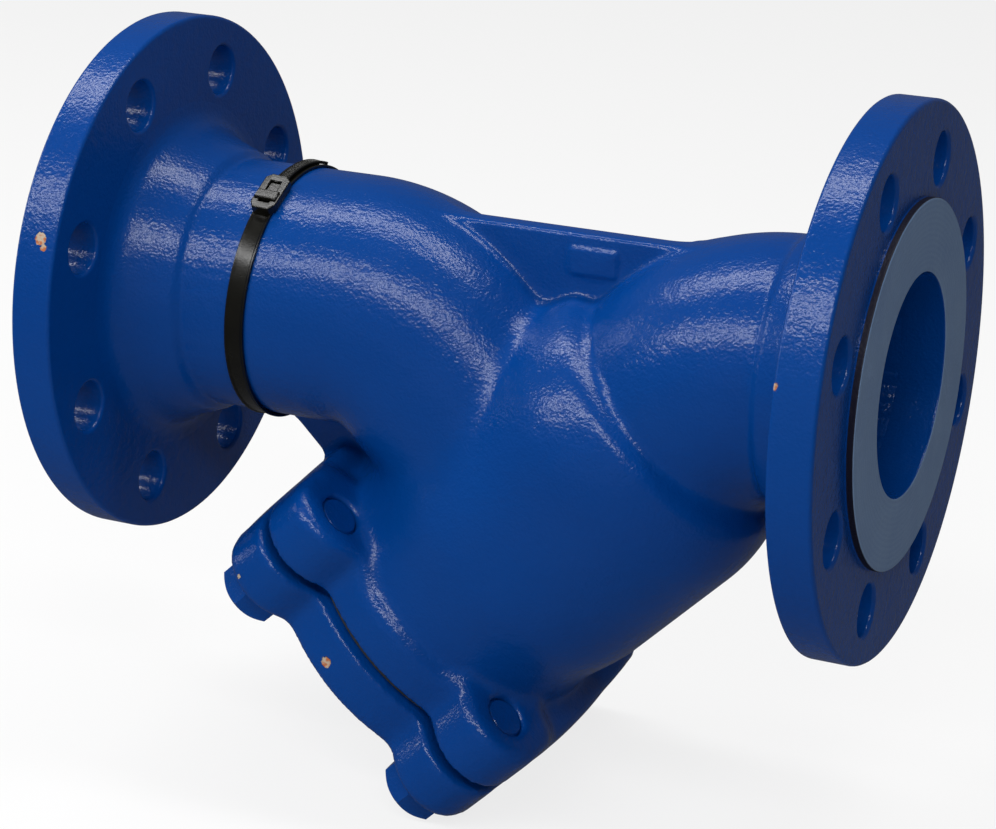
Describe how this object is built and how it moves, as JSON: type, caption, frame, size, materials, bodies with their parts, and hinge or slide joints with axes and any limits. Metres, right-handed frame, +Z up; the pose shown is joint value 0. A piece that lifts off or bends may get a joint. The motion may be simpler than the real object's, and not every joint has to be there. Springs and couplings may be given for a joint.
{
  "type": "mesh strainer",
  "caption": "Flanged Y-pattern pipeline strainer in painted ductile iron, with a slanted screen chamber, a bolted lobed cover and a perforated screen lined with woven mesh.",
  "frame": {"origin": "centre of the raised face of the inlet flange", "axes": "+X along the pipe in the direction of flow, +Z up, the screen branch points down and downstream in the plane Y = 0"},
  "size_m": [0.31, 0.2, 0.2828],
  "materials": {
    "casting_paint": "glossy deep blue fusion-bonded epoxy over a sand-cast skin",
    "cover_paint": "the same glossy blue epoxy, chipped at a few edges",
    "bolt_paint": "hexagon bolts painted over with the same blue",
    "plug_paint": "forged plug painted over with the same blue",
    "gasket_sheet": "dark compressed sheet",
    "washer_copper": "soft copper sealing ring, lightly dulled",
    "screen_steel": "rolled stainless sheet",
    "screen_weave": "fine woven stainless wire",
    "tie_nylon": "glossy black nylon"
  },
  "bodies": {
    "strainer_body": {"body": "casting_paint", "cover_gasket": "gasket_sheet", "cable_tie": "tie_nylon"},
    "cover_assembly": {"cover": "cover_paint"},
    "screen": {"screen_sleeve": "screen_steel", "screen_mesh": "screen_weave", "screen_inner_band": "screen_steel", "screen_outer_band": "screen_steel"},
    "drain_plug": {"drain_plug": "plug_paint", "drain_plug_washer": "washer_copper"},
    "bolt_1": {"cover_bolt_1": "bolt_paint"},
    "bolt_2": {"cover_bolt_2": "bolt_paint"},
    "bolt_3": {"cover_bolt_3": "bolt_paint"},
    "bolt_4": {"cover_bolt_4": "bolt_paint"}
  },
  "joints": [
    {"name": "cover_removal", "type": "slide", "parent": "strainer_body", "child": "cover_assembly", "axis": [0.7071, 0, -0.7071], "range_m": [0, 0.3]},
    {"name": "screen_removal", "type": "slide", "parent": "strainer_body", "child": "screen", "axis": [0.7071, 0, -0.7071], "range_m": [0, 0.15]},
    {"name": "drain_plug_removal", "type": "slide", "parent": "cover_assembly", "child": "drain_plug", "axis": [0.7071, 0, -0.7071], "range_m": [0, 0.03]},
    {"name": "bolt_1_removal", "type": "slide", "parent": "cover_assembly", "child": "bolt_1", "axis": [0.7071, 0, -0.7071], "range_m": [0, 0.05]},
    {"name": "bolt_2_removal", "type": "slide", "parent": "cover_assembly", "child": "bolt_2", "axis": [0.7071, 0, -0.7071], "range_m": [0, 0.05]},
    {"name": "bolt_3_removal", "type": "slide", "parent": "cover_assembly", "child": "bolt_3", "axis": [0.7071, 0, -0.7071], "range_m": [0, 0.05]},
    {"name": "bolt_4_removal", "type": "slide", "parent": "cover_assembly", "child": "bolt_4", "axis": [0.7071, 0, -0.7071], "range_m": [0, 0.05]}
  ],
  "couplings": [
    {"joint": "screen_removal", "follows": "cover_removal", "ratio": 0.5}
  ]
}
